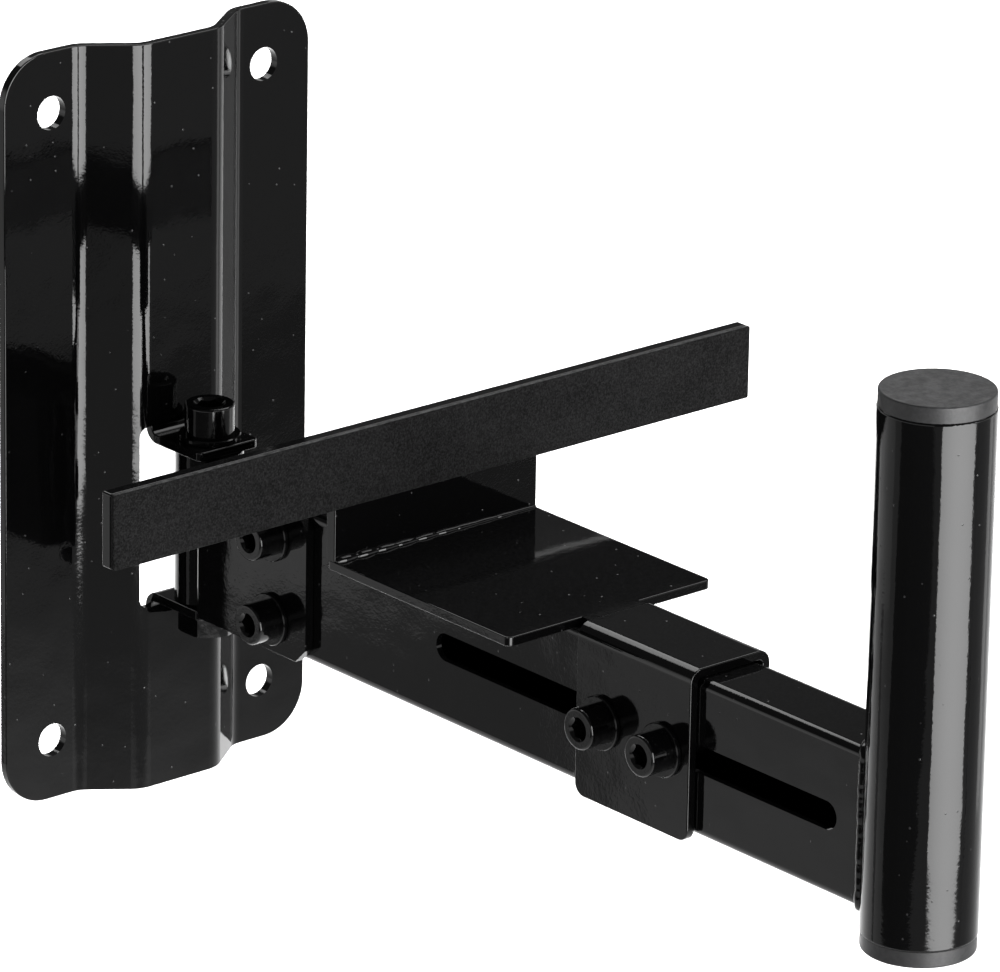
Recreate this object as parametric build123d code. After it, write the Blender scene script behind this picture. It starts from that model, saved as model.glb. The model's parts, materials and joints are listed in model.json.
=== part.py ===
from build123d import *
import os
from math import atan2, cos, radians, tan

# Speaker wall bracket. All lengths are millimetres.
# X runs out from the wall along the arm, Y runs along the wall, Z is up.
# The origin is the centre of the four wall holes, on the wall itself.

# Wall plate: one pressed sheet with a raised middle and two ears bent out of its window
PLATE_WIDTH = 122.0
PLATE_HEIGHT = 250.0
PLATE_SHEET = 3.0
PLATE_CORNER_RADIUS = 16.0
PLATE_RISE = 12.0
PLATE_BEND_RADIUS = 8.0
RIDGE_WIDTH = 31.0
SLOPE_WIDTH = 16.3
WALL_HOLE_SPACING_Y = 85.0
WALL_HOLE_SPACING_Z = 210.0
WALL_HOLE_DIAMETER = 11.0
EAR_WIDTH = 24.0
EAR_LENGTH = 24.5
EAR_BEND_RADIUS = 2.4
EAR_CORNER_RADIUS = 2.0
WINDOW_WIDTH = 32.0
WINDOW_CORNER_RADIUS = 3.2

# Hinge: the barrel turns on the pivot bolt between the ears
ARM_HEIGHT_Z = -32.5
PIVOT_FROM_RIDGE = 14.5
BARREL_DIAMETER = 22.0
PIVOT_DIAMETER = 10.0
PIVOT_HEAD_DIAMETER = 16.0
PIVOT_HEAD_HEIGHT = 10.0
PIVOT_SOCKET_SIZE = 8.0
PIVOT_SOCKET_DEPTH = 5.0
PIVOT_WASHER_DIAMETER = 20.0
PIVOT_WASHER_THICKNESS = 2.0
PIVOT_NUT_SIZE = 17.0
PIVOT_NUT_HEIGHT = 8.0
PIVOT_END_PROUD = 1.5

# Clearances
RUNNING_CLEARANCE = 0.3
PIVOT_CLEARANCE = 0.1
BOLT_HOLE_CLEARANCE = 0.2
YOKE_CLEARANCE = 0.2
WELD_GAP = 0.2
CAP_CLEARANCE = 0.1
THREAD_CLEARANCE = 0.05

# Yoke: a folded channel that grips the end of the arm tube
YOKE_SHEET = 3.0
YOKE_LENGTH = 56.5
YOKE_BEND_RADIUS = 1.0
YOKE_CORNER_CUT = 5.0
YOKE_BOLT_FROM_FRONT = 17.0
YOKE_BOLT_FROM_EDGE = 11.0

# Arm tube, with one long slot through both sides
TUBE_HEIGHT = 50.0
TUBE_WIDTH = 25.0
TUBE_WALL = 2.0
TUBE_CORNER_RADIUS = 3.0
TUBE_END_GAP = 2.0
SLOT_LENGTH = 181.0
SLOT_WIDTH = 9.0
SLOT_TO_POLE_AXIS = 23.0

# Speaker pole, welded across the end of the arm tube
POLE_FROM_PIVOT = 331.0
POLE_DIAMETER = 35.0
POLE_WALL = 2.0
POLE_LENGTH = 162.5
POLE_BELOW_TUBE = 5.5
POLE_EDGE_RADIUS = 0.7
CAP_DIAMETER = 34.4
CAP_RIM_HEIGHT = 5.0
CAP_EDGE_RADIUS = 0.7
CAP_PLUG_LENGTH = 14.0
CAP_PLUG_WALL = 1.8
CAP_FIN_DEPTH = 1.2
CAP_FIN_THICKNESS = 1.2
CAP_FIN_COUNT = 3

# Saddle bracket: one folded sheet, a platform that narrows to a saddle over the tube
SADDLE_SHEET = 3.0
PLATFORM_LENGTH = 85.5
PLATFORM_WIDTH = 81.0
PLATFORM_CORNER_RADIUS = 2.0
PLATFORM_FROM_PIVOT = 107.5
SADDLE_LENGTH = 54.0
SADDLE_BEND_RADIUS = 1.5
SADDLE_BEND_RELIEF = 3.0
FLAP_OVERHANG = 1.6
FLAP_CORNER_RADIUS = 4.0
CLAMP_BOLT_SPACING = 27.5

# Support plate: a long bar on a short foot, with a rubber pad on its face
SUPPORT_SHEET = 4.0
BAR_LENGTH = 254.0
BAR_HEIGHT = 24.0
BAR_CORNER_RADIUS = 0.8
FOOT_WIDTH = 81.0
FOOT_HEIGHT = 17.5
PAD_THICKNESS = 1.7

# The four cross bolts, with their washers and nuts
BOLT_DIAMETER = 8.0
BOLT_LENGTH = 45.0
BOLT_HEAD_DIAMETER = 13.0
BOLT_HEAD_HEIGHT = 8.0
BOLT_SOCKET_SIZE = 6.0
BOLT_SOCKET_DEPTH = 4.0
WASHER_DIAMETER = 17.0
WASHER_THICKNESS = 1.6
NUT_SIZE = 13.0
NUT_HEIGHT = 6.8

HEAD_EDGE_RADIUS = 0.8
SOCKET_RIM_CHAMFER = 0.5
THREAD_END_CHAMFER = 0.8
NUT_EDGE_CHAMFER = 0.8
WASHER_EDGE_CHAMFER = 0.3

# The rounded arris that the powder coat leaves along the cut edges of the sheets
SHEET_EDGE_RADIUS = 0.4

# How far a cutter runs past the face that it cuts
OVERCUT = 1.0

# A face whose normal has less than this along X was cut square to the wall
FLAT_LIMIT = 1e-4

# Places worked out from the sizes above
RIDGE_FACE_X = PLATE_RISE + PLATE_SHEET
PIVOT_X = RIDGE_FACE_X + PIVOT_FROM_RIDGE
EAR_END_X = RIDGE_FACE_X + EAR_LENGTH
YOKE_HEIGHT = TUBE_HEIGHT
BARREL_LENGTH = YOKE_HEIGHT
EAR_INNER_OFFSET = BARREL_LENGTH / 2 + RUNNING_CLEARANCE
EAR_OUTER_OFFSET = EAR_INNER_OFFSET + PLATE_SHEET
WINDOW_HEIGHT = 2 * (EAR_OUTER_OFFSET + EAR_BEND_RADIUS)

YOKE_BACK_X = PIVOT_X + BARREL_DIAMETER / 2 + WELD_GAP
YOKE_FRONT_X = YOKE_BACK_X + YOKE_LENGTH
YOKE_HALF_WIDTH = TUBE_WIDTH / 2 + YOKE_CLEARANCE + YOKE_SHEET
YOKE_BOLT_X = YOKE_FRONT_X - YOKE_BOLT_FROM_FRONT

POLE_X = PIVOT_X + POLE_FROM_PIVOT
TUBE_START_X = YOKE_BACK_X + YOKE_SHEET + TUBE_END_GAP
TUBE_TOP_Z = ARM_HEIGHT_Z + TUBE_HEIGHT / 2
TUBE_BOTTOM_Z = ARM_HEIGHT_Z - TUBE_HEIGHT / 2
SLOT_CENTRE_X = POLE_X - SLOT_TO_POLE_AXIS - SLOT_LENGTH / 2
POLE_BOTTOM_Z = TUBE_BOTTOM_Z - POLE_BELOW_TUBE
POLE_TOP_Z = POLE_BOTTOM_Z + POLE_LENGTH

PLATFORM_BACK_X = PIVOT_X + PLATFORM_FROM_PIVOT
PLATFORM_FRONT_X = PLATFORM_BACK_X + PLATFORM_LENGTH
SADDLE_FRONT_X = PLATFORM_FRONT_X + SADDLE_LENGTH
SADDLE_UNDER_Z = TUBE_TOP_Z + RUNNING_CLEARANCE
SADDLE_TOP_Z = SADDLE_UNDER_Z + SADDLE_SHEET
SADDLE_HALF_WIDTH = TUBE_WIDTH / 2 + RUNNING_CLEARANCE + SADDLE_SHEET
FLAP_BOTTOM_Z = TUBE_BOTTOM_Z - FLAP_OVERHANG
SADDLE_START_X = PLATFORM_FRONT_X + SADDLE_BEND_RELIEF
CLAMP_CENTRE_X = (SADDLE_START_X + SADDLE_FRONT_X) / 2
CLAMP_BOLT_XS = {
    "rear": CLAMP_CENTRE_X - CLAMP_BOLT_SPACING / 2,
    "front": CLAMP_CENTRE_X + CLAMP_BOLT_SPACING / 2,
}
BAR_BOTTOM_Z = SADDLE_TOP_Z + FOOT_HEIGHT


def folded_sheet(outside_points, radii, sheet, side):
    """Section of a bent sheet from the line of one face, thickened to the given side."""
    face_line = FilletPolyline(*outside_points, radius=radii)
    return make_face(offset(face_line, amount=sheet, side=side))


def across_x(sketch, start_x, thickness):
    """Extrude a sketch drawn as (Y, Z) along +X from start_x."""
    plane = Plane(origin=(start_x, 0, 0), x_dir=(0, 1, 0), z_dir=(1, 0, 0))
    return extrude(plane * sketch, amount=thickness)


def soften_rims(solid, axis):
    """Round the edges of the two end faces that lie across an axis."""
    ends = solid.faces().sort_by(axis)
    return fillet(ends[0].edges() + ends[-1].edges(), SHEET_EDGE_RADIUS)


def bore_x(diameter, y, z):
    """Round cutter along X, through the flat of the wall plate."""
    return Pos(PLATE_SHEET / 2, y, z) * Rot(0, 90, 0) * Cylinder(diameter / 2, PLATE_SHEET + 2 * OVERCUT)


def bolt_bore(x, z):
    """Cutter for a cross bolt's holes, along Y through the whole arm."""
    radius = BOLT_DIAMETER / 2 + BOLT_HOLE_CLEARANCE
    return Pos(x, 0, z) * Rot(90, 0, 0) * Cylinder(radius, 2 * (SADDLE_HALF_WIDTH + OVERCUT))


def plate_section():
    """Hat section of the wall plate, seen from above, drawn along its back face."""
    half_ridge = RIDGE_WIDTH / 2
    bend = atan2(PLATE_RISE, SLOPE_WIDTH)
    shift = PLATE_SHEET * tan(bend / 2)
    top_half = half_ridge - shift
    foot_half = half_ridge + SLOPE_WIDTH - shift
    points = [
        (0, -PLATE_WIDTH / 2),
        (0, -foot_half),
        (PLATE_RISE, -top_half),
        (PLATE_RISE, top_half),
        (0, foot_half),
        (0, PLATE_WIDTH / 2),
    ]
    inner = PLATE_BEND_RADIUS
    outer = PLATE_BEND_RADIUS + PLATE_SHEET
    return folded_sheet(points, [outer, inner, inner, outer], PLATE_SHEET, Side.RIGHT)


def plate_ear(direction):
    """One ear, bent out of the window: direction +1 is the upper ear, -1 the lower."""
    root_z = direction * (WINDOW_HEIGHT / 2 + EAR_BEND_RADIUS)
    under_z = direction * EAR_INNER_OFFSET
    points = [(PLATE_RISE, root_z), (PLATE_RISE, under_z), (EAR_END_X, under_z)]
    radius = EAR_BEND_RADIUS + PLATE_SHEET
    side = Side.LEFT if direction > 0 else Side.RIGHT
    section = folded_sheet(points, [radius], PLATE_SHEET, side)
    plane = Plane(origin=(0, 0, ARM_HEIGHT_Z), x_dir=(1, 0, 0), z_dir=(0, -1, 0))
    ear = extrude(plane * section, amount=EAR_WIDTH / 2, both=True)
    tips = ear.edges().filter_by(Axis.Z).group_by(Axis.X)[-1]
    ear = fillet(tips, EAR_CORNER_RADIUS)
    sides = ear.faces().sort_by(Axis.Y)
    rims = sides[0].edges() + sides[-1].edges()
    root_level = ARM_HEIGHT_Z + root_z
    rims = rims.filter_by(lambda edge: abs(edge.center().Z - root_level) > SHEET_EDGE_RADIUS)
    return fillet(rims, SHEET_EDGE_RADIUS)


def wall_plate():
    plate = Pos(0, 0, -PLATE_HEIGHT / 2) * extrude(plate_section(), amount=PLATE_HEIGHT)
    outline = RectangleRounded(PLATE_WIDTH, PLATE_HEIGHT, PLATE_CORNER_RADIUS)
    plate &= across_x(outline, -OVERCUT, RIDGE_FACE_X + 2 * OVERCUT)
    cut_faces = plate.faces().filter_by(lambda face: abs(face.normal_at().X) < FLAT_LIMIT)
    plate = fillet(cut_faces.edges().filter_by(Axis.X, reverse=True), SHEET_EDGE_RADIUS)
    window = Pos(0, ARM_HEIGHT_Z) * RectangleRounded(WINDOW_WIDTH, WINDOW_HEIGHT, WINDOW_CORNER_RADIUS)
    plate -= across_x(window, -OVERCUT, RIDGE_FACE_X + 2 * OVERCUT)
    for y in (-WALL_HOLE_SPACING_Y / 2, WALL_HOLE_SPACING_Y / 2):
        for z in (-WALL_HOLE_SPACING_Z / 2, WALL_HOLE_SPACING_Z / 2):
            plate -= bore_x(WALL_HOLE_DIAMETER, y, z)
    plate += plate_ear(1)
    plate += plate_ear(-1)
    hole_radius = PIVOT_DIAMETER / 2 + BOLT_HOLE_CLEARANCE
    plate -= Pos(PIVOT_X, 0, ARM_HEIGHT_Z) * Cylinder(hole_radius, 2 * (EAR_OUTER_OFFSET + OVERCUT))
    return plate


def corner_radius(size):
    """Radius through the corners of a hexagon given its size across the flats."""
    return size / 2 / cos(radians(30))


def socket_cutter(size, depth):
    """Hexagon socket going down from Z = 0, with a cone round its mouth."""
    hexagon = RegularPolygon(size / 2, 6, major_radius=False)
    socket = Pos(0, 0, -depth) * extrude(hexagon, amount=depth + OVERCUT)
    mouth = corner_radius(size) + SOCKET_RIM_CHAMFER
    return socket + Pos(0, 0, -mouth / 2) * Cone(0, mouth, mouth)


def socket_bolt(diameter, length, head_diameter, head_height, socket_size, socket_depth):
    """Socket head bolt along Z: the head sits on Z = 0 and the shank hangs below it."""
    head = Pos(0, 0, head_height / 2) * Cylinder(head_diameter / 2, head_height)
    head = fillet(head.edges().group_by(Axis.Z)[-1], HEAD_EDGE_RADIUS)
    shank = Pos(0, 0, -length / 2) * Cylinder(diameter / 2, length)
    shank = chamfer(shank.edges().group_by(Axis.Z)[0], THREAD_END_CHAMFER)
    return head + shank - Pos(0, 0, head_height) * socket_cutter(socket_size, socket_depth)


def washer(outer_diameter, bolt_diameter, thickness):
    """Flat washer standing on Z = 0."""
    hole = bolt_diameter + 2 * BOLT_HOLE_CLEARANCE
    ring = extrude(Circle(outer_diameter / 2) - Circle(hole / 2), amount=thickness)
    rims = ring.edges().filter_by(GeomType.CIRCLE).group_by(SortBy.RADIUS)[-1]
    return chamfer(rims, WASHER_EDGE_CHAMFER)


def hex_nut(size, bolt_diameter, height):
    """Hexagon nut standing on Z = 0, with its corners turned off at both ends."""
    hexagon = RegularPolygon(size / 2, 6, major_radius=False)
    blank = extrude(hexagon, amount=height)
    turned = Pos(0, 0, height / 2) * Cylinder(corner_radius(size), height)
    turned = chamfer(turned.edges().filter_by(GeomType.CIRCLE), NUT_EDGE_CHAMFER / 2, NUT_EDGE_CHAMFER)
    bore = Pos(0, 0, height / 2) * Cylinder(bolt_diameter / 2 + THREAD_CLEARANCE, height + 2 * OVERCUT)
    return (blank & turned) - bore


def pivot_parts():
    """Pivot bolt with its washer on the upper ear and its nut under the lower one."""
    ear_top = ARM_HEIGHT_Z + EAR_OUTER_OFFSET
    ear_bottom = ARM_HEIGHT_Z - EAR_OUTER_OFFSET
    seat = ear_top + PIVOT_WASHER_THICKNESS
    length = seat - ear_bottom + PIVOT_NUT_HEIGHT + PIVOT_END_PROUD
    bolt = socket_bolt(
        PIVOT_DIAMETER, length, PIVOT_HEAD_DIAMETER, PIVOT_HEAD_HEIGHT, PIVOT_SOCKET_SIZE, PIVOT_SOCKET_DEPTH
    )
    ring = washer(PIVOT_WASHER_DIAMETER, PIVOT_DIAMETER, PIVOT_WASHER_THICKNESS)
    nut = hex_nut(PIVOT_NUT_SIZE, PIVOT_DIAMETER, PIVOT_NUT_HEIGHT)
    return {
        "pivot_bolt": Pos(PIVOT_X, 0, seat) * bolt,
        "pivot_washer": Pos(PIVOT_X, 0, ear_top) * ring,
        "pivot_nut": Pos(PIVOT_X, 0, ear_bottom - PIVOT_NUT_HEIGHT) * nut,
    }


def hinge_barrel():
    bore = PIVOT_DIAMETER + 2 * PIVOT_CLEARANCE
    ring = Circle(BARREL_DIAMETER / 2) - Circle(bore / 2)
    return Pos(PIVOT_X, 0, ARM_HEIGHT_Z - BARREL_LENGTH / 2) * extrude(ring, amount=BARREL_LENGTH)


def yoke():
    points = [
        (YOKE_FRONT_X, -YOKE_HALF_WIDTH),
        (YOKE_BACK_X, -YOKE_HALF_WIDTH),
        (YOKE_BACK_X, YOKE_HALF_WIDTH),
        (YOKE_FRONT_X, YOKE_HALF_WIDTH),
    ]
    outer = YOKE_BEND_RADIUS + YOKE_SHEET
    section = folded_sheet(points, [outer, outer], YOKE_SHEET, Side.RIGHT)
    channel = Pos(0, 0, ARM_HEIGHT_Z - YOKE_HEIGHT / 2) * extrude(section, amount=YOKE_HEIGHT)
    corners = channel.edges().filter_by(Axis.Y).group_by(Axis.X)[-1]
    channel = chamfer(corners, YOKE_CORNER_CUT)
    channel = soften_rims(channel, Axis.Z)
    for z in yoke_bolt_heights().values():
        channel -= bolt_bore(YOKE_BOLT_X, z)
    return channel


def yoke_bolt_heights():
    offset_z = YOKE_HEIGHT / 2 - YOKE_BOLT_FROM_EDGE
    return {"upper": ARM_HEIGHT_Z + offset_z, "lower": ARM_HEIGHT_Z - offset_z}


def arm_tube():
    """Rectangular tube, notched at its far end to fit round the pole."""
    inner_radius = TUBE_CORNER_RADIUS - TUBE_WALL
    outside = RectangleRounded(TUBE_WIDTH, TUBE_HEIGHT, TUBE_CORNER_RADIUS)
    inside = RectangleRounded(TUBE_WIDTH - 2 * TUBE_WALL, TUBE_HEIGHT - 2 * TUBE_WALL, inner_radius)
    section = Pos(0, ARM_HEIGHT_Z) * (outside - inside)
    tube = across_x(section, TUBE_START_X, POLE_X - TUBE_START_X)
    tube -= Pos(POLE_X, 0, ARM_HEIGHT_Z) * Cylinder(POLE_DIAMETER / 2 + WELD_GAP, TUBE_HEIGHT + 2 * OVERCUT)
    slot_plane = Plane(origin=(SLOT_CENTRE_X, 0, ARM_HEIGHT_Z), x_dir=(1, 0, 0), z_dir=(0, -1, 0))
    slot = extrude(slot_plane * SlotOverall(SLOT_LENGTH, SLOT_WIDTH), amount=TUBE_WIDTH, both=True)
    tube -= slot
    for z in yoke_bolt_heights().values():
        tube -= bolt_bore(YOKE_BOLT_X, z)
    return tube


def pole_tube():
    ring = Circle(POLE_DIAMETER / 2) - Circle(POLE_DIAMETER / 2 - POLE_WALL)
    pole = extrude(ring, amount=POLE_LENGTH)
    rims = pole.edges().filter_by(GeomType.CIRCLE).group_by(SortBy.RADIUS)[-1]
    pole = fillet(rims, POLE_EDGE_RADIUS)
    return Pos(POLE_X, 0, POLE_BOTTOM_Z) * pole


def pole_cap():
    """Finned plastic plug: its rim stands on Z = 0 and its plug hangs below."""
    rim_radius = CAP_DIAMETER / 2
    fin_radius = POLE_DIAMETER / 2 - POLE_WALL - CAP_CLEARANCE
    root_radius = fin_radius - CAP_FIN_DEPTH
    hollow_radius = root_radius - CAP_PLUG_WALL
    rim = Pos(0, 0, CAP_RIM_HEIGHT / 2) * Cylinder(rim_radius, CAP_RIM_HEIGHT)
    rim = fillet(rim.edges().group_by(Axis.Z)[-1], CAP_EDGE_RADIUS)
    plug = Pos(0, 0, -CAP_PLUG_LENGTH / 2) * Cylinder(root_radius, CAP_PLUG_LENGTH)
    fin_pitch = CAP_PLUG_LENGTH / CAP_FIN_COUNT
    for number in range(CAP_FIN_COUNT):
        fin_z = -(number + 0.5) * fin_pitch
        plug += Pos(0, 0, fin_z) * Cylinder(fin_radius, CAP_FIN_THICKNESS)
    plug -= Pos(0, 0, -CAP_PLUG_LENGTH / 2) * Cylinder(hollow_radius, CAP_PLUG_LENGTH)
    return rim + plug


def pole_caps():
    cap = pole_cap()
    return {
        "pole_cap_top": Pos(POLE_X, 0, POLE_TOP_Z) * cap,
        "pole_cap_bottom": Pos(POLE_X, 0, POLE_BOTTOM_Z) * Rot(180, 0, 0) * cap,
    }


def saddle_bracket():
    """Platform and saddle, folded from one T-shaped sheet."""
    platform = RectangleRounded(PLATFORM_LENGTH, PLATFORM_WIDTH, PLATFORM_CORNER_RADIUS)
    platform_x = PLATFORM_BACK_X + PLATFORM_LENGTH / 2
    platform = soften_rims(extrude(platform, amount=SADDLE_SHEET), Axis.Z)
    bracket = Pos(platform_x, 0, SADDLE_UNDER_Z) * platform
    bend = SADDLE_BEND_RADIUS + SADDLE_SHEET
    neck_width = 2 * (SADDLE_HALF_WIDTH - bend)
    neck_length = SADDLE_BEND_RELIEF + PLATFORM_CORNER_RADIUS
    neck_x = SADDLE_START_X - neck_length / 2
    neck_z = SADDLE_UNDER_Z + SADDLE_SHEET / 2
    bracket += Pos(neck_x, 0, neck_z) * Box(neck_length, neck_width, SADDLE_SHEET)
    points = [
        (-SADDLE_HALF_WIDTH, FLAP_BOTTOM_Z),
        (-SADDLE_HALF_WIDTH, SADDLE_TOP_Z),
        (SADDLE_HALF_WIDTH, SADDLE_TOP_Z),
        (SADDLE_HALF_WIDTH, FLAP_BOTTOM_Z),
    ]
    section = folded_sheet(points, [bend, bend], SADDLE_SHEET, Side.RIGHT)
    saddle = across_x(section, SADDLE_START_X, SADDLE_FRONT_X - SADDLE_START_X)
    corners = saddle.edges().filter_by(Axis.Y).group_by(Axis.Z)[0]
    saddle = soften_rims(fillet(corners, FLAP_CORNER_RADIUS), Axis.X)
    for x in CLAMP_BOLT_XS.values():
        saddle -= bolt_bore(x, ARM_HEIGHT_Z)
    return bracket + saddle


def bar_outline():
    bar = RectangleRounded(BAR_LENGTH, BAR_HEIGHT, BAR_CORNER_RADIUS)
    return Pos(0, BAR_BOTTOM_Z + BAR_HEIGHT / 2) * bar


def support_plate():
    foot_reach = FOOT_HEIGHT + BAR_HEIGHT / 2
    foot = Pos(0, SADDLE_TOP_Z + foot_reach / 2) * Rectangle(FOOT_WIDTH, foot_reach)
    return soften_rims(across_x(bar_outline() + foot, PLATFORM_BACK_X, SUPPORT_SHEET), Axis.X)


def support_pad():
    return soften_rims(across_x(bar_outline(), PLATFORM_BACK_X + SUPPORT_SHEET, PAD_THICKNESS), Axis.X)


def cross_bolt_set(name, x, z, half_width):
    """Bolt through the arm from the -Y side, with a washer at each end and a nut."""
    to_minus_y = Rot(90, 0, 0)
    to_plus_y = Rot(-90, 0, 0)
    seat = half_width + WASHER_THICKNESS
    bolt = socket_bolt(
        BOLT_DIAMETER, BOLT_LENGTH, BOLT_HEAD_DIAMETER, BOLT_HEAD_HEIGHT, BOLT_SOCKET_SIZE, BOLT_SOCKET_DEPTH
    )
    ring = washer(WASHER_DIAMETER, BOLT_DIAMETER, WASHER_THICKNESS)
    nut = hex_nut(NUT_SIZE, BOLT_DIAMETER, NUT_HEIGHT)
    return {
        f"{name}_bolt": Pos(x, -seat, z) * to_minus_y * bolt,
        f"{name}_head_washer": Pos(x, -half_width, z) * to_minus_y * ring,
        f"{name}_nut_washer": Pos(x, half_width, z) * to_plus_y * ring,
        f"{name}_nut": Pos(x, seat, z) * to_plus_y * nut,
    }


def all_parts():
    parts = {"wall_plate": wall_plate()}
    parts.update(pivot_parts())
    parts["hinge_barrel"] = hinge_barrel()
    parts["yoke"] = yoke()
    for level, z in yoke_bolt_heights().items():
        parts.update(cross_bolt_set(f"yoke_{level}", YOKE_BOLT_X, z, YOKE_HALF_WIDTH))
    parts["arm_tube"] = arm_tube()
    parts["pole_tube"] = pole_tube()
    parts.update(pole_caps())
    parts["saddle_bracket"] = saddle_bracket()
    for place, x in CLAMP_BOLT_XS.items():
        parts.update(cross_bolt_set(f"clamp_{place}", x, ARM_HEIGHT_Z, SADDLE_HALF_WIDTH))
    parts["support_plate"] = support_plate()
    parts["support_pad"] = support_pad()
    return parts


def main():
    os.makedirs("parts", exist_ok=True)
    for name, solid in all_parts().items():
        export_step(solid, f"parts/{name}.step")
        print(name, round(solid.volume, 1), len(solid.solids()))


main()
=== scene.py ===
import json
import math

import bmesh
import bpy
from mathutils import Matrix, Vector, noise

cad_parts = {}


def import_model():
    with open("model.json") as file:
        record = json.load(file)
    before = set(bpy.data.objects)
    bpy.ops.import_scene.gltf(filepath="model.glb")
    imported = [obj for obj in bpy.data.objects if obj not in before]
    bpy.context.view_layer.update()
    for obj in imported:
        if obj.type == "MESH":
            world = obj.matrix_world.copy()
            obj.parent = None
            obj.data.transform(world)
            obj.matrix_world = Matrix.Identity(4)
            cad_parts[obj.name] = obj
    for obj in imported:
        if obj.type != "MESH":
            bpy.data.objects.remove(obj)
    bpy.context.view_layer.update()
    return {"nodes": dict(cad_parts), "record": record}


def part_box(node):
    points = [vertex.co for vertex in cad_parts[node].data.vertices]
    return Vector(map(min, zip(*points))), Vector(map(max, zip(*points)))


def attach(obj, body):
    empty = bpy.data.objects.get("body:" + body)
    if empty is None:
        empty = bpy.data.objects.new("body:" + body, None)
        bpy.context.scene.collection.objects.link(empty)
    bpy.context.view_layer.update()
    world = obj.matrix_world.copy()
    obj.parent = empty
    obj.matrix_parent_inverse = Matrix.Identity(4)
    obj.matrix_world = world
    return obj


MM = 0.001

# Camera, fitted to the photograph. The image is taken as 1000 x 972 pixels.
# Angles are in degrees, distances in metres and the sensor's width in millimetres.
IMAGE_WIDTH = 1000
IMAGE_HEIGHT = 972
CAMERA_AZIMUTH = 49.184
CAMERA_ELEVATION = 19.986
CAMERA_ROLL = 0.999
CAMERA_DISTANCE = 2.7106
CAMERA_CLIP_END = 60.0
FOCAL_PIXELS = 8500.0
ORIGIN_PIXEL = (151.8, 400.7)
SENSOR_WIDTH = 36.0

# Floor, in metres. Its glow grows from the first value to the second between two distances.
FLOOR_Z = -0.72
FLOOR_SIZE = 16.0
FLOOR_GLOW = (0.13, 0.62)
FLOOR_GLOW_DISTANCES = (2.9, 4.8)
FLOOR_ROUGHNESS = 0.9
FLOOR_DARK = (0.80, 0.80, 0.80)
FLOOR_PALE = (0.83, 0.83, 0.83)

# Room: pale below the first height of a look upwards, dim above the second one
ROOM_HEIGHTS = (0.12, 0.30)
ROOM_PALE = (0.75, 0.75, 0.75)
ROOM_DIM = (0.07, 0.07, 0.07)

# Cards that reflections show
CARD_DARK = (0.90, 0.90, 0.90)
CARD_PALE = (1.0, 1.0, 1.0)

# Materials: linear colours, and the least and greatest roughness
COAT_BLACK = (0.0014, 0.0014, 0.0015)
# Upward faces of the coat are painted paler: partly dust, partly a painted sheen of light from above
COAT_DUST_AND_SHEEN = (0.0105, 0.0105, 0.0108)
COAT_SPECK = (0.020, 0.020, 0.021)
COAT_ROUGHNESS = (0.035, 0.075)
STEEL_BLACK = (0.0012, 0.0012, 0.0013)
STEEL_RUB = (0.014, 0.014, 0.0145)
STEEL_ROUGHNESS = (0.06, 0.15)
RUBBER_DARK = (0.0002, 0.0002, 0.0002)
RUBBER_PALE = (0.0150, 0.0150, 0.0153)
# Pale colour of the pad's top edge: a painted highlight, patchy and ragged
RUBBER_FUZZ_AND_HIGHLIGHT = (0.140, 0.140, 0.142)
RUBBER_ROUGHNESS = (0.78, 0.92)
CAP_DARK = (0.017, 0.017, 0.0175)
CAP_PALE = (0.031, 0.031, 0.032)
# The cap's top face is painted paler than its sides: painted light from above, with a scuffed mottle
CAP_TOP_LIT_DARK = (0.045, 0.045, 0.046)
CAP_TOP_LIT_SCUFFED = (0.118, 0.118, 0.120)
CAP_ROUGHNESS = (0.36, 0.50)

# Bump heights of the materials, in metres
COAT_WAVE = 0.14 * MM
COAT_PEEL = 0.012 * MM
COAT_GRAIN = 0.006 * MM
COAT_SPECK_HEIGHT = 0.05 * MM
STEEL_GRAIN = 0.03 * MM
RUBBER_GRAIN = 0.20 * MM
CAP_GRAIN = 0.05 * MM

# Bands of a noise and of an upward normal that a look is spread over
NOISE_MIDDLE = (0.3, 0.7)
UPWARD_NORMAL = (0.80, 0.99)

# Share of a speck's radius that has its full strength
SPECK_CORE_SHARE = 0.5

# Weld beads, in metres, with their noise scales per metre
BEAD_SPACING = 0.5 * MM
BEAD_SIDES = 12
BEAD_SWELL_MIDDLE = 0.6
BEAD_UNEVEN_SCALE = 230.0
BEAD_UNEVEN_SHARE = 0.16
BEAD_RIPPLE_SCALE = 1100.0
BEAD_RIPPLE_SHARE = 0.05
FOOT_HALF_WIDTH = 40.0 * MM
FOOT_BEAD_RADIUS = 1.5 * MM
FOOT_BEAD_PITCH = 8.0 * MM
FOOT_BEAD_SWELLS = (0.42, 0.06)
FOOT_BEAD_END_SHARE = 0.5
POLE_BEAD_RADIUS = 1.6 * MM
POLE_BEAD_PITCH = 4.2 * MM
POLE_BEAD_SWELLS = (0.08, 0.08)
BARREL_BEAD_RADIUS = 2.2 * MM
BARREL_BEAD_PITCH = 4.2 * MM
BARREL_BEAD_SWELLS = (0.15, 0.15)
BARREL_BEAD_OFFSET = 6.8 * MM

# Outline of the arm tube's end, which the bead on the pole follows
TUBE_CORNER_RADIUS = 3.0 * MM
TUBE_CORNER_STEPS = 6
TUBE_OUTLINE_SPACING = 1.0 * MM

# Slack for rounding errors along a line, in metres
ROUNDING_SLACK = 1e-9

# Threads on the bolt ends, in metres
BOLT_SHANK_RADIUS = 4.0 * MM
THREAD_PITCH = 1.25 * MM
THREAD_HEIGHT = 0.28 * MM
THREAD_ROOT_DEPTH = 0.1 * MM
THREAD_FLANK_SHARE = 0.4
THREAD_FADE_TURNS = 0.5
THREAD_END_CHAMFER = 0.8 * MM
THREAD_STEPS = 40


def add_object(name, data):
    """Object that holds the data, linked to the scene."""
    item = bpy.data.objects.new(name, data)
    bpy.context.scene.collection.objects.link(item)
    return item


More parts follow.
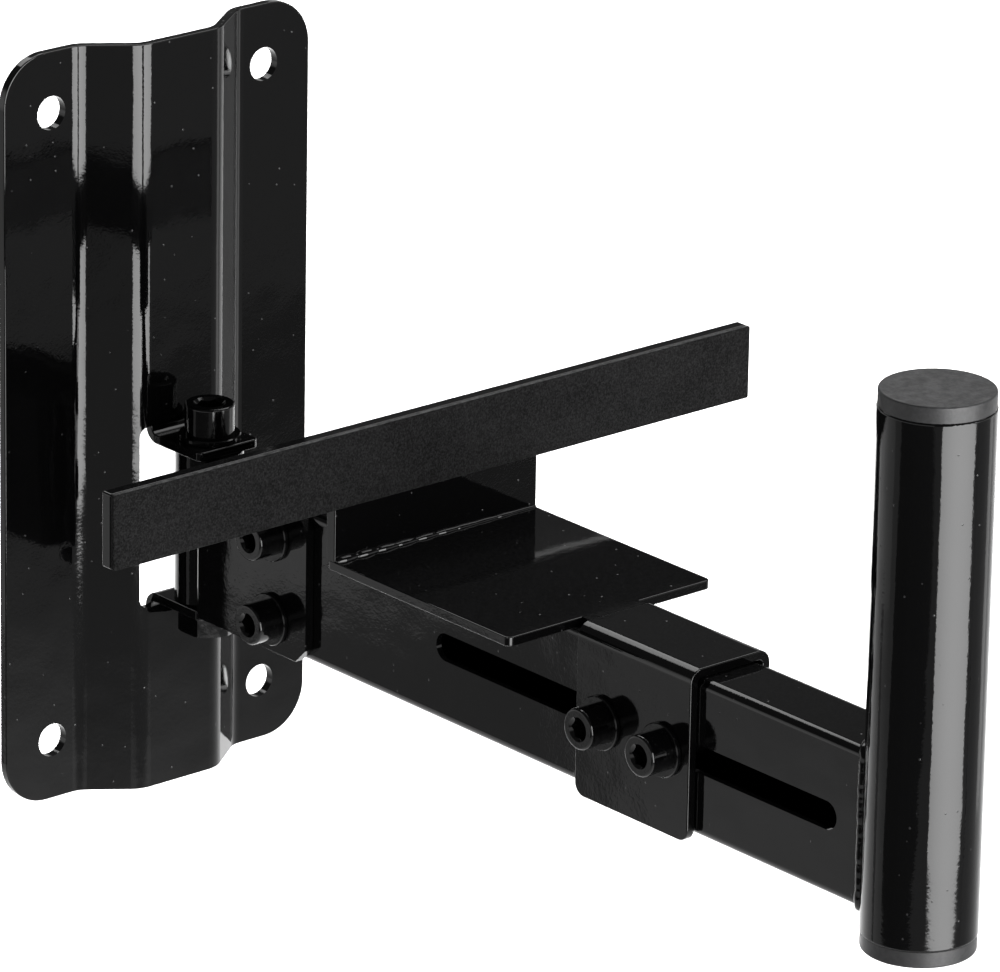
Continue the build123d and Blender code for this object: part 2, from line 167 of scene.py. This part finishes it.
def camera_axes():
    """Right, up and look directions of the photograph's camera."""
    azimuth = math.radians(CAMERA_AZIMUTH)
    elevation = math.radians(CAMERA_ELEVATION)
    roll = math.radians(CAMERA_ROLL)
    look = Vector((
        -math.cos(elevation) * math.sin(azimuth),
        math.cos(elevation) * math.cos(azimuth),
        -math.sin(elevation),
    ))
    level_right = Vector((math.cos(azimuth), math.sin(azimuth), 0.0))
    level_up = level_right.cross(look)
    right = level_right * math.cos(roll) + level_up * math.sin(roll)
    up = level_up * math.cos(roll) - level_right * math.sin(roll)
    return right, up, look


def add_camera():
    """Camera that shows the frame's origin on its pixel of the photograph."""
    right, up, look = camera_axes()
    across = (ORIGIN_PIXEL[0] - IMAGE_WIDTH / 2) / FOCAL_PIXELS
    down = (ORIGIN_PIXEL[1] - IMAGE_HEIGHT / 2) / FOCAL_PIXELS
    place = (right * across - up * down + look) * -CAMERA_DISTANCE
    data = bpy.data.cameras.new("photo_camera")
    data.sensor_fit = "HORIZONTAL"
    data.sensor_width = SENSOR_WIDTH
    data.lens = FOCAL_PIXELS / IMAGE_WIDTH * SENSOR_WIDTH
    data.clip_end = CAMERA_CLIP_END
    camera = add_object("photo_camera", data)
    turn = Matrix((right, up, -look)).transposed().to_4x4()
    camera.matrix_world = Matrix.Translation(place) @ turn
    bpy.context.scene.camera = camera


class Nodes:
    """Short helpers for building one material's node tree."""

    def __init__(self, name):
        self.material = bpy.data.materials.new(name)
        self.material.use_nodes = True
        self.tree = self.material.node_tree
        self.tree.nodes.clear()
        self.output = self.add("ShaderNodeOutputMaterial")
        self.coordinates = self.add("ShaderNodeTexCoord")

    def add(self, kind, **inputs):
        """Node of a kind, with the values of the inputs that are named."""
        node = self.tree.nodes.new(kind)
        for key, value in inputs.items():
            node.inputs[key.replace("_", " ")].default_value = value
        return node

    def link(self, source, target):
        """Link a node's output to another node's input."""
        self.tree.links.new(source, target)

    def cover(self, shader_output):
        """Finished material, with a shader's output as its surface."""
        self.link(shader_output, self.output.inputs["Surface"])
        return self.material

    def solid(self, ior, colour, roughness, normal):
        """Finished opaque material, from its index of refraction and three nodes' outputs."""
        shader = self.add("ShaderNodeBsdfPrincipled", IOR=ior)
        self.link(colour, shader.inputs["Base Color"])
        self.link(roughness, shader.inputs["Roughness"])
        self.link(normal, shader.inputs["Normal"])
        return self.cover(shader.outputs["BSDF"])

    def noise(self, scale, detail=3.0, roughness=0.5):
        """Cloudy noise in the object's own frame, from 0 to 1."""
        node = self.add("ShaderNodeTexNoise", Scale=scale, Detail=detail, Roughness=roughness)
        self.link(self.coordinates.outputs["Object"], node.inputs["Vector"])
        return node.outputs["Fac"]

    def spread(self, value, band, to=(0.0, 1.0)):
        """Map a band of a value to a range, held at both ends."""
        node = self.add(
            "ShaderNodeMapRange", From_Min=band[0], From_Max=band[1], To_Min=to[0], To_Max=to[1]
        )
        self.link(value, node.inputs["Value"])
        return node.outputs["Result"]

    def patches(self, band=NOISE_MIDDLE, to=(0.0, 1.0), **texture):
        """Noise, with a band of it spread over a range."""
        return self.spread(self.noise(**texture), band, to)

    def specks(self, scale, radius):
        """Scattered round dots, 1 at the middle of each and 0 between them."""
        node = self.add("ShaderNodeTexVoronoi", Scale=scale)
        self.link(self.coordinates.outputs["Object"], node.inputs["Vector"])
        return self.spread(node.outputs["Distance"], (radius * SPECK_CORE_SHARE, radius), (1.0, 0.0))

    def shade(self, factor, low, high):
        """Colour between two by a factor, each a colour or another node's output."""
        node = self.add("ShaderNodeMix")
        node.data_type = "RGBA"
        for socket, colour in ((node.inputs["A"], low), (node.inputs["B"], high)):
            if isinstance(colour, tuple):
                socket.default_value = (*colour, 1.0)
            else:
                self.link(colour, socket)
        self.link(factor, node.inputs["Factor"])
        return node.outputs["Result"]

    def facing_up(self):
        """1 on faces that look up, 0 on upright ones, in the object's own frame."""
        split = self.add("ShaderNodeSeparateXYZ")
        self.link(self.coordinates.outputs["Normal"], split.inputs["Vector"])
        return self.spread(split.outputs["Z"], UPWARD_NORMAL)

    def arithmetic(self, operation, first, second):
        """Result of a sum or product of two nodes' outputs."""
        node = self.add("ShaderNodeMath")
        node.operation = operation
        self.link(first, node.inputs[0])
        self.link(second, node.inputs[1])
        return node.outputs["Value"]

    def bump(self, height, distance, after=None):
        """Bumped normal, on top of an earlier one where there is one."""
        node = self.add("ShaderNodeBump", Distance=distance)
        self.link(height, node.inputs["Height"])
        if after is not None:
            self.link(after, node.inputs["Normal"])
        return node.outputs["Normal"]


def powder_coat(name):
    """Glossy black powder coat: slow waves, fine orange peel, specks, and upward faces painted paler
    as a little dust and a painted sheen.
    """
    nodes = Nodes(name)
    bits = nodes.specks(scale=190.0, radius=0.068)
    cloud = nodes.patches(band=(0.35, 0.65), to=(0.3, 1.0), scale=900.0, detail=4.0, roughness=0.7)
    # Dust and painted sheen: upward faces painted paler in a patchy cloud
    dust_and_sheen = nodes.arithmetic("MULTIPLY", nodes.facing_up(), cloud)
    coat = nodes.shade(dust_and_sheen, COAT_BLACK, COAT_DUST_AND_SHEEN)
    wave = nodes.bump(nodes.noise(scale=55.0, detail=1.0), COAT_WAVE)
    peel = nodes.bump(nodes.noise(scale=620.0, detail=2.0), COAT_PEEL, after=wave)
    grain = nodes.bump(nodes.noise(scale=1600.0, detail=2.0), COAT_GRAIN, after=peel)
    return nodes.solid(
        ior=1.50,
        colour=nodes.shade(bits, coat, COAT_SPECK),
        roughness=nodes.patches(
            band=(0.35, 0.70), to=COAT_ROUGHNESS, scale=38.0, detail=4.0, roughness=0.6
        ),
        normal=nodes.bump(bits, COAT_SPECK_HEIGHT, after=grain),
    )


def black_steel(name):
    """Blackened bolt steel, smooth and glossy, with small bright rub marks."""
    nodes = Nodes(name)
    rubs = nodes.patches(band=(0.62, 0.78), scale=900.0)
    return nodes.solid(
        ior=1.50,
        colour=nodes.shade(rubs, STEEL_BLACK, STEEL_RUB),
        roughness=nodes.patches(to=STEEL_ROUGHNESS, scale=240.0),
        normal=nodes.bump(nodes.noise(scale=420.0, detail=2.0), STEEL_GRAIN),
    )


def pad_rubber(name):
    """Matt rubber sheet with a fine grain, and a pale painted highlight on its top edge, patchy and
    ragged.
    """
    nodes = Nodes(name)
    grain = nodes.noise(scale=1700.0, roughness=0.6)
    sheet = nodes.shade(nodes.spread(grain, (0.40, 0.70)), RUBBER_DARK, RUBBER_PALE)
    patchy = nodes.patches(band=(0.35, 0.65), to=(0.25, 1.0), scale=420.0, detail=4.0, roughness=0.7)
    # Painted highlight: upward faces painted pale in patches
    fuzz_and_highlight = nodes.arithmetic("MULTIPLY", nodes.facing_up(), patchy)
    return nodes.solid(
        ior=1.25,
        colour=nodes.shade(fuzz_and_highlight, sheet, RUBBER_FUZZ_AND_HIGHLIGHT),
        roughness=nodes.patches(to=RUBBER_ROUGHNESS, scale=60.0),
        normal=nodes.bump(grain, RUBBER_GRAIN),
    )


def cap_plastic(name):
    """Moulded dark plastic with a low sheen; its top face is painted paler as painted light from
    above, with a scuffed mottle.
    """
    nodes = Nodes(name)
    grain = nodes.noise(scale=650.0, detail=4.0, roughness=0.65)
    side = nodes.shade(nodes.spread(grain, (0.35, 0.70)), CAP_DARK, CAP_PALE)
    scuffs = nodes.patches(band=(0.38, 0.64), scale=340.0, detail=4.0, roughness=0.7)
    # Painted light: the top face painted paler than the sides, mottled by scuffs
    top = nodes.shade(scuffs, CAP_TOP_LIT_DARK, CAP_TOP_LIT_SCUFFED)
    return nodes.solid(
        ior=1.48,
        colour=nodes.shade(nodes.facing_up(), side, top),
        roughness=nodes.patches(to=CAP_ROUGHNESS, scale=90.0),
        normal=nodes.bump(grain, CAP_GRAIN),
    )


def skin(name, rings, loop):
    """Smooth skin through rings of points, closed into a loop or capped at both ends."""
    count = len(rings[0])
    points = [point for ring in rings for point in ring]
    faces = []
    for step in range(len(rings) if loop else len(rings) - 1):
        first = step * count
        second = (step + 1) % len(rings) * count
        for side in range(count):
            after = (side + 1) % count
            faces.append((first + side, first + after, second + after, second + side))
    if not loop:
        faces.append(tuple(range(count - 1, -1, -1)))
        faces.append(tuple(range(len(points) - count, len(points))))
    mesh = bpy.data.meshes.new(name)
    mesh.from_pydata(points, [], faces)
    shape = bmesh.new()
    shape.from_mesh(mesh)
    bmesh.ops.recalc_face_normals(shape, faces=shape.faces)
    for face in shape.faces:
        face.smooth = True
    shape.to_mesh(mesh)
    shape.free()
    return add_object(name, mesh)


def resample(points, spacing, loop):
    """Points at an even spacing along a line of points."""
    line = points + points[:1] if loop else points
    total = sum((after - before).length for before, after in zip(line, line[1:]))
    count = max(2, round(total / spacing))
    gap = total / count
    result = [line[0].copy()]
    carried = 0.0
    for before, after in zip(line, line[1:]):
        run = (after - before).length
        reach = carried + run + ROUNDING_SLACK
        while run > 0 and reach >= gap * len(result) and len(result) < count:
            result.append(before.lerp(after, (gap * len(result) - carried) / run))
        carried += run
    if not loop:
        result.append(line[-1].copy())
    return result


def weld_bead(name, points, radius, pitch, swells, loop=False, end_share=1.0):
    """Round bead along a line, thinner towards its end by end_share.

    It swells at each stop of the torch, by a first and a last share of its radius.
    """
    path = resample([Vector(point) for point in points], BEAD_SPACING, loop)
    rings = []
    for number, centre in enumerate(path):
        before = path[number - 1] if number or loop else centre
        after = path[(number + 1) % len(path)] if number + 1 < len(path) or loop else centre
        along = (after - before).normalized()
        across = along.cross(Vector((1.0, 0.0, 0.0))).normalized()
        outward = along.cross(across)
        travel = number * BEAD_SPACING
        share = number / (len(path) - 1)
        swell = swells[0] + (swells[1] - swells[0]) * share
        wave = abs(math.sin(math.pi * travel / pitch)) - BEAD_SWELL_MIDDLE
        uneven = noise.noise(centre * BEAD_UNEVEN_SCALE)
        thinning = 1.0 + (end_share - 1.0) * share
        size = radius * thinning * (1.0 + swell * wave + BEAD_UNEVEN_SHARE * uneven)
        ring = []
        for side in range(BEAD_SIDES):
            angle = 2 * math.pi * side / BEAD_SIDES
            offset = across * math.cos(angle) + outward * math.sin(angle)
            rough = noise.noise((centre + offset * radius) * BEAD_RIPPLE_SCALE)
            ripple = 1.0 + BEAD_RIPPLE_SHARE * rough
            ring.append(centre + offset * size * ripple)
        rings.append(ring)
    return skin(name, rings, loop)


def tube_outline(half_width, half_height, middle_z):
    """Outline of the arm tube's section as (Y, Z), round corners included."""
    outline = []
    for side_y, side_z, start in ((1, 1, 0), (-1, 1, 90), (-1, -1, 180), (1, -1, 270)):
        for step in range(TUBE_CORNER_STEPS + 1):
            angle = math.radians(start + 90 * step / TUBE_CORNER_STEPS)
            y = side_y * (half_width - TUBE_CORNER_RADIUS) + TUBE_CORNER_RADIUS * math.cos(angle)
            z = side_z * (half_height - TUBE_CORNER_RADIUS) + TUBE_CORNER_RADIUS * math.sin(angle)
            outline.append((y, middle_z + z))
    return outline


def pole_weld():
    """Bead all round the end of the arm tube, where it meets the pole."""
    tube_low, tube_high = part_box("arm_tube")
    pole_low, pole_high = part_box("pole_tube")
    radius = (pole_high[0] - pole_low[0]) / 2
    axis_x = (pole_high[0] + pole_low[0]) / 2
    half_height = (tube_high[2] - tube_low[2]) / 2
    middle_z = (tube_high[2] + tube_low[2]) / 2
    outline = tube_outline(tube_high[1], half_height, middle_z)
    dense = resample([Vector((0.0, y, z)) for y, z in outline], TUBE_OUTLINE_SPACING, True)
    points = [(axis_x - math.sqrt(radius**2 - point.y**2), point.y, point.z) for point in dense]
    bead = weld_bead("pole_weld", points, POLE_BEAD_RADIUS, POLE_BEAD_PITCH, POLE_BEAD_SWELLS, True)
    return [bead]


def barrel_welds():
    """Two upright beads between the hinge barrel and the back of the yoke."""
    barrel_low, barrel_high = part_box("hinge_barrel")
    back_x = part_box("yoke")[0][0]
    radius = (barrel_high[1] - barrel_low[1]) / 2
    axis_x = (barrel_high[0] + barrel_low[0]) / 2
    surface_x = axis_x + math.sqrt(radius**2 - BARREL_BEAD_OFFSET**2)
    middle_x = (surface_x + back_x) / 2
    low_z = barrel_low[2] + BARREL_BEAD_RADIUS
    high_z = barrel_high[2] - BARREL_BEAD_RADIUS
    beads = []
    for name, side in (("left", -1), ("right", 1)):
        y = side * BARREL_BEAD_OFFSET
        points = [(middle_x, y, low_z), (middle_x, y, high_z)]
        bead = weld_bead(
            f"barrel_weld_{name}", points, BARREL_BEAD_RADIUS, BARREL_BEAD_PITCH, BARREL_BEAD_SWELLS
        )
        beads.append(bead)
    return beads


def foot_weld():
    """Bead along the front of the support plate's foot, on the platform."""
    face_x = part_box("support_plate")[1][0]
    seat_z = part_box("support_plate")[0][2]
    points = [(face_x, -FOOT_HALF_WIDTH, seat_z), (face_x, FOOT_HALF_WIDTH, seat_z)]
    bead = weld_bead(
        "foot_weld",
        points,
        FOOT_BEAD_RADIUS,
        FOOT_BEAD_PITCH,
        FOOT_BEAD_SWELLS,
        end_share=FOOT_BEAD_END_SHARE,
    )
    return [bead]


def bolt_thread(bolt_set):
    """Thread on the end of a cross bolt that stands out of its nut, on the +Y side."""
    bolt_low, bolt_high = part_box(f"{bolt_set}_bolt")
    nut_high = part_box(f"{bolt_set}_nut")[1]
    centre_x = (bolt_low[0] + bolt_high[0]) / 2
    centre_z = (bolt_low[2] + bolt_high[2]) / 2
    start_y = nut_high[1] - THREAD_PITCH
    end_y = bolt_high[1] - THREAD_END_CHAMFER
    steps = round((end_y - start_y) / THREAD_PITCH * THREAD_STEPS)
    flank = THREAD_PITCH * THREAD_FLANK_SHARE
    rings = []
    for step in range(steps + 1):
        angle = 2 * math.pi * step / THREAD_STEPS
        y = start_y + (end_y - start_y) * step / steps
        fade = min(1.0, (steps - step) / THREAD_STEPS / THREAD_FADE_TURNS)
        profile = (
            (-THREAD_ROOT_DEPTH, -flank),
            (THREAD_HEIGHT * fade, 0.0),
            (-THREAD_ROOT_DEPTH, flank),
        )
        ring = []
        for reach, shift in profile:
            radius = BOLT_SHANK_RADIUS + reach
            x = centre_x + radius * math.cos(angle)
            z = centre_z + radius * math.sin(angle)
            ring.append((x, y + shift, z))
        rings.append(ring)
    return skin(f"{bolt_set}_thread", rings, False)


def add_details(materials):
    """Weld beads and bolt threads, each on its body and with its finish."""
    welds = {"arm": pole_weld() + barrel_welds(), "support": foot_weld()}
    threads = {
        "arm": [bolt_thread("yoke_upper"), bolt_thread("yoke_lower")],
        "support": [bolt_thread("clamp_rear"), bolt_thread("clamp_front")],
    }
    for groups, slot in ((welds, "black_coat"), (threads, "black_steel")):
        for body, pieces in groups.items():
            for piece in pieces:
                piece.data.materials.append(materials[slot])
                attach(piece, body)


def add_sheet(name, centre, across, up, material):
    """Flat stage sheet, from its middle and its two half sides."""
    middle, side, rise = Vector(centre), Vector(across), Vector(up)
    corners = [middle - side - rise, middle + side - rise, middle + side + rise, middle - side + rise]
    mesh = bpy.data.meshes.new(name)
    mesh.from_pydata(corners, [], [(0, 1, 2, 3)])
    mesh.materials.append(material)
    sheet = add_object(name, mesh)
    return sheet


def floor_material(name):
    """Pale matt floor with a slight mottle, clear from below.

    Its glow is seen and mirrored but casts no light, and it grows far away.
    """
    nodes = Nodes(name)
    path = nodes.add("ShaderNodeLightPath")
    seen = nodes.arithmetic("ADD", path.outputs["Is Camera Ray"], path.outputs["Is Glossy Ray"])
    seen = nodes.arithmetic("ADD", seen, path.outputs["Is Transmission Ray"])
    length = nodes.add("ShaderNodeVectorMath")
    length.operation = "LENGTH"
    nodes.link(nodes.coordinates.outputs["Object"], length.inputs[0])
    glow = nodes.spread(length.outputs["Value"], FLOOR_GLOW_DISTANCES, FLOOR_GLOW)
    top = nodes.add(
        "ShaderNodeBsdfPrincipled", Roughness=FLOOR_ROUGHNESS, Emission_Color=(1.0, 1.0, 1.0, 1.0)
    )
    nodes.link(nodes.shade(nodes.patches(scale=0.8), FLOOR_DARK, FLOOR_PALE), top.inputs["Base Color"])
    nodes.link(nodes.arithmetic("MULTIPLY", seen, glow), top.inputs["Emission Strength"])
    clear = nodes.add("ShaderNodeBsdfTransparent")
    sides = nodes.add("ShaderNodeNewGeometry")
    either = nodes.add("ShaderNodeMixShader")
    nodes.link(sides.outputs["Backfacing"], either.inputs[0])
    nodes.link(top.outputs["BSDF"], either.inputs[1])
    nodes.link(clear.outputs["BSDF"], either.inputs[2])
    return nodes.cover(either.outputs["Shader"])


def add_floor():
    """Square floor below the object, with the frame's origin over its middle."""
    half = FLOOR_SIZE / 2
    add_sheet(
        "studio_floor",
        centre=(0.0, 0.0, FLOOR_Z),
        across=(half, 0.0, 0.0),
        up=(0.0, half, 0.0),
        material=floor_material("studio_floor"),
    )


def card_material(name, radiance):
    """Dim even glow with a slight mottle."""
    nodes = Nodes(name)
    glow = nodes.add("ShaderNodeEmission", Strength=radiance)
    nodes.link(nodes.shade(nodes.patches(scale=2.0), CARD_DARK, CARD_PALE), glow.inputs["Color"])
    return nodes.cover(glow.outputs["Emission"])


def add_card(name, centre, across, up, radiance):
    """Dim card that only reflections show, from its middle and its two half sides."""
    card = add_sheet(name, centre, across, up, card_material(name, radiance))
    card.visible_camera = False
    card.visible_diffuse = False
    card.visible_shadow = False


def add_cards():
    """Dark parts of the room, which the tube's side, the pole and the plate mirror."""
    add_card(
        "side_card",
        centre=(-0.923, -0.90, -0.652),
        across=(0.1625, 0.0, 0.0496),
        up=(-0.0292, 0.0, 0.0956),
        radiance=0.26,
    )
    add_card(
        "floor_card",
        centre=(0.70, -1.90, -0.70),
        across=(1.2, 0.0, 0.0),
        up=(0.0, 0.55, 0.0),
        radiance=0.07,
    )
    add_card(
        "ridge_card",
        centre=(1.57, 1.256, -0.71),
        across=(0.105, 0.0907, 0.0),
        up=(0.0, 0.14, 0.0),
        radiance=0.15,
    )


def add_world():
    """Dim room above, pale near and below the horizon."""
    world = bpy.data.worlds.new("studio_world")
    bpy.context.scene.world = world
    world.use_nodes = True
    tree = world.node_tree
    background = tree.nodes["Background"]
    coordinates = tree.nodes.new("ShaderNodeTexCoord")
    split = tree.nodes.new("ShaderNodeSeparateXYZ")
    climb = tree.nodes.new("ShaderNodeMapRange")
    climb.interpolation_type = "SMOOTHSTEP"
    climb.inputs["From Min"].default_value = ROOM_HEIGHTS[0]
    climb.inputs["From Max"].default_value = ROOM_HEIGHTS[1]
    blend = tree.nodes.new("ShaderNodeMix")
    blend.data_type = "RGBA"
    blend.inputs["A"].default_value = (*ROOM_PALE, 1.0)
    blend.inputs["B"].default_value = (*ROOM_DIM, 1.0)
    tree.links.new(coordinates.outputs["Generated"], split.inputs["Vector"])
    tree.links.new(split.outputs["Z"], climb.inputs["Value"])
    tree.links.new(climb.outputs["Result"], blend.inputs["Factor"])
    tree.links.new(blend.outputs["Result"], background.inputs["Color"])


def add_softbox(name, place, target, width, height, radiance, spread=180.0):
    """Rectangular light of a given radiance, seen by surfaces but not by the camera."""
    data = bpy.data.lights.new(name, "AREA")
    data.shape = "RECTANGLE"
    data.size = width
    data.size_y = height
    data.energy = radiance * width * height * math.pi
    data.spread = math.radians(spread)
    light = add_object(name, data)
    aim = (Vector(target) - Vector(place)).to_track_quat("-Z", "Y")
    light.matrix_world = Matrix.Translation(place) @ aim.to_matrix().to_4x4()
    light.visible_camera = False


def add_lights():
    """Soft boxes round the object, and one over the floor behind it."""
    add_softbox(
        "key_light",
        place=(1.55, 0.04, -0.02),
        target=(0.0, 0.04, -0.02),
        width=1.55,
        height=1.18,
        radiance=3.9,
        spread=130.0,
    )
    add_softbox(
        "fill_light",
        place=(-1.15, -1.10, -0.25),
        target=(0.1, 0.0, -0.05),
        width=1.1,
        height=0.8,
        radiance=0.18,
    )
    add_softbox(
        "edge_light",
        place=(0.55, 1.45, -0.15),
        target=(0.2, 0.0, -0.05),
        width=0.28,
        height=0.9,
        radiance=0.7,
    )
    add_softbox(
        "top_light",
        place=(0.1, 0.85, 1.25),
        target=(0.2, 0.0, 0.0),
        width=1.1,
        height=0.8,
        radiance=2.2,
    )
    add_softbox(
        "strip_light",
        place=(-1.08, 0.33, 1.22),
        target=(0.2, 0.0, 0.0),
        width=1.05,
        height=0.45,
        radiance=2.4,
    )
    add_softbox(
        "floor_light",
        place=(-1.7, 1.4, 1.3),
        target=(-1.7, 1.4, -0.7),
        width=2.8,
        height=2.8,
        radiance=3.2,
        spread=90.0,
    )


def dress_nodes(frame):
    """Put each slot's material on its CAD nodes, and give the materials by slot."""
    by_slot = {
        "black_coat": powder_coat("black_powder_coat"),
        "black_steel": black_steel("black_bolt_steel"),
        "pad_rubber": pad_rubber("pad_rubber"),
        "cap_plastic": cap_plastic("cap_plastic"),
    }
    for part in frame["record"]["subparts"]:
        node = frame["nodes"][part["node"]]
        for slot in node.material_slots:
            slot.material = by_slot[part["material_slot"]]
    return by_slot


def main():
    """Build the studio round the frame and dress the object."""
    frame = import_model()
    bpy.context.scene.view_settings.view_transform = "Standard"
    add_camera()
    add_world()
    add_floor()
    add_cards()
    add_lights()
    materials = dress_nodes(frame)
    add_details(materials)


main()
